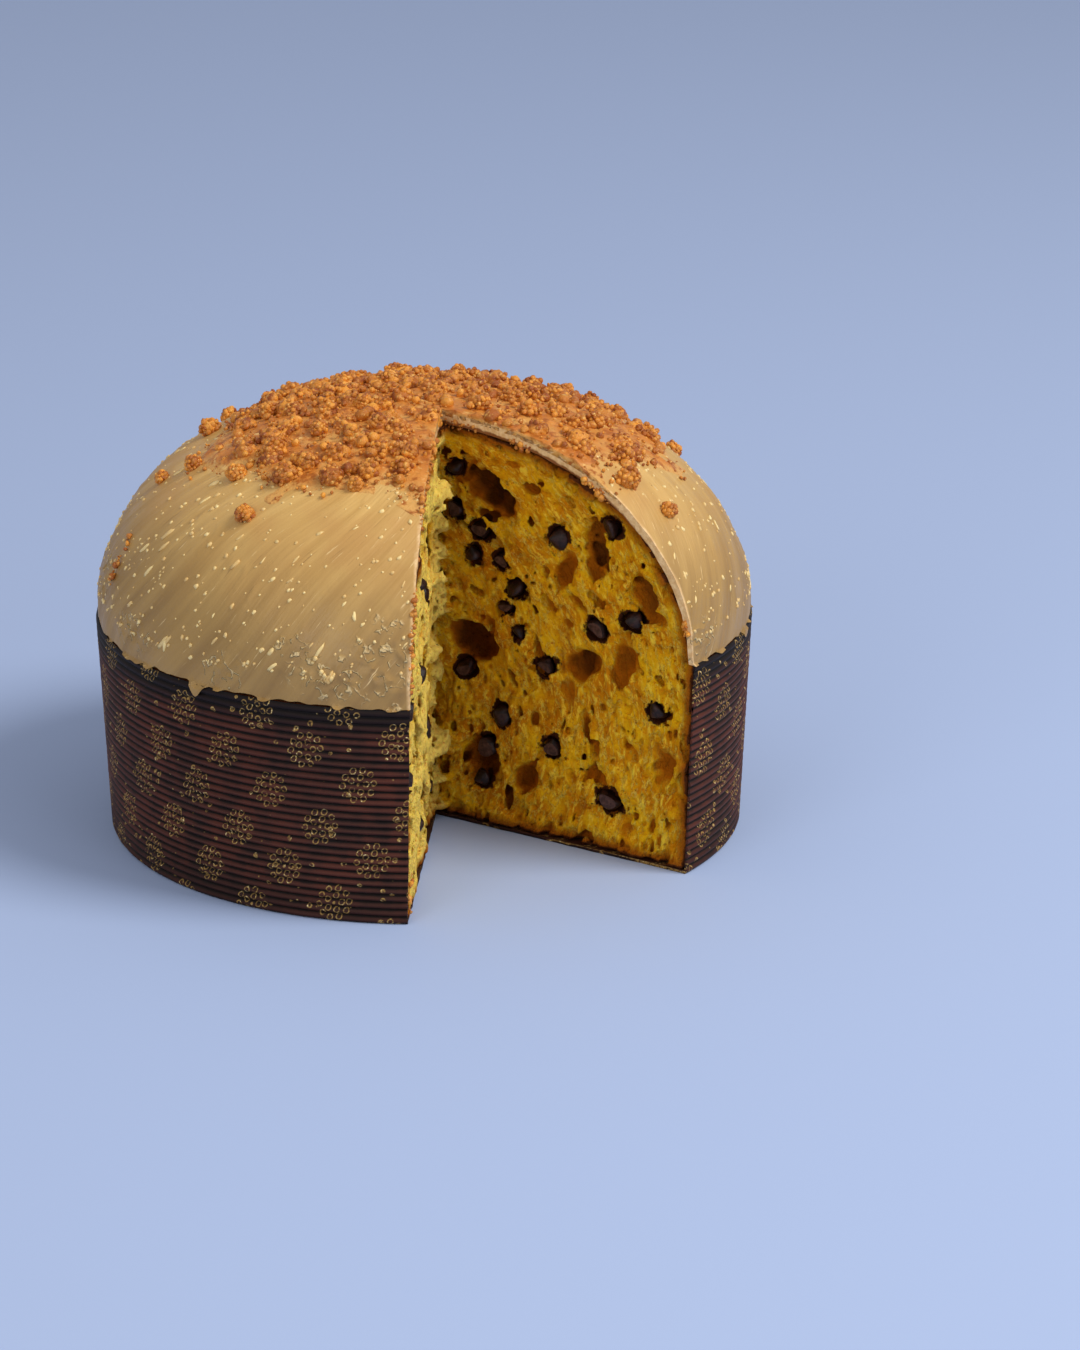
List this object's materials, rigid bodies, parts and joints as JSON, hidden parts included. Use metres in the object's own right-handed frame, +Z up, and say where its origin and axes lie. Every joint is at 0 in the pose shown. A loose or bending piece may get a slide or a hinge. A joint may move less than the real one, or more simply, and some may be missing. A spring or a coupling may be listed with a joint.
{
  "type": "panettone",
  "caption": "Low round panettone with chocolate drops, iced and topped with crumble, in a corrugated paper case, with a wedge cut out.",
  "frame": {"origin": "middle of the base, on the surface that the cake stands on", "axes": "+Z up; the cut-out wedge opens towards -Y"},
  "size_m": [0.211, 0.199, 0.1425],
  "materials": {
    "crumb": "golden yellow, open and soft bread crumb with a thin brown crust",
    "icing": "set caramel and coffee coloured coating, matt to satin, with spatula marks",
    "crumble": "baked sugar and nut crumble, rough, caramel brown",
    "chocolate": "dark chocolate, satin where it is cut",
    "case_paper": "dark brown corrugated baking paper with small gold printed ornaments"
  },
  "bodies": {
    "root": {"crumb": "crumb", "icing": "icing", "paper_case": "case_paper", "chip_right_1": "chocolate", "chip_right_2": "chocolate", "chip_right_3": "chocolate", "chip_right_4": "chocolate", "chip_right_5": "chocolate", "chip_right_6": "chocolate", "chip_right_7": "chocolate", "chip_right_8": "chocolate", "chip_right_9": "chocolate", "chip_right_10": "chocolate", "chip_right_11": "chocolate", "chip_right_12": "chocolate", "chip_right_13": "chocolate", "chip_right_14": "chocolate", "chip_right_15": "chocolate", "chip_right_16": "chocolate", "chip_right_17": "chocolate", "chip_right_18": "chocolate", "chip_right_19": "chocolate", "chip_right_20": "chocolate", "chip_left_1": "chocolate", "chip_left_2": "chocolate", "chip_left_3": "chocolate", "chip_left_4": "chocolate", "chip_left_5": "chocolate", "chip_left_6": "chocolate", "chip_left_7": "chocolate", "chip_left_8": "chocolate", "chip_left_9": "chocolate", "chip_left_10": "chocolate"}
  },
  "joints": []
}
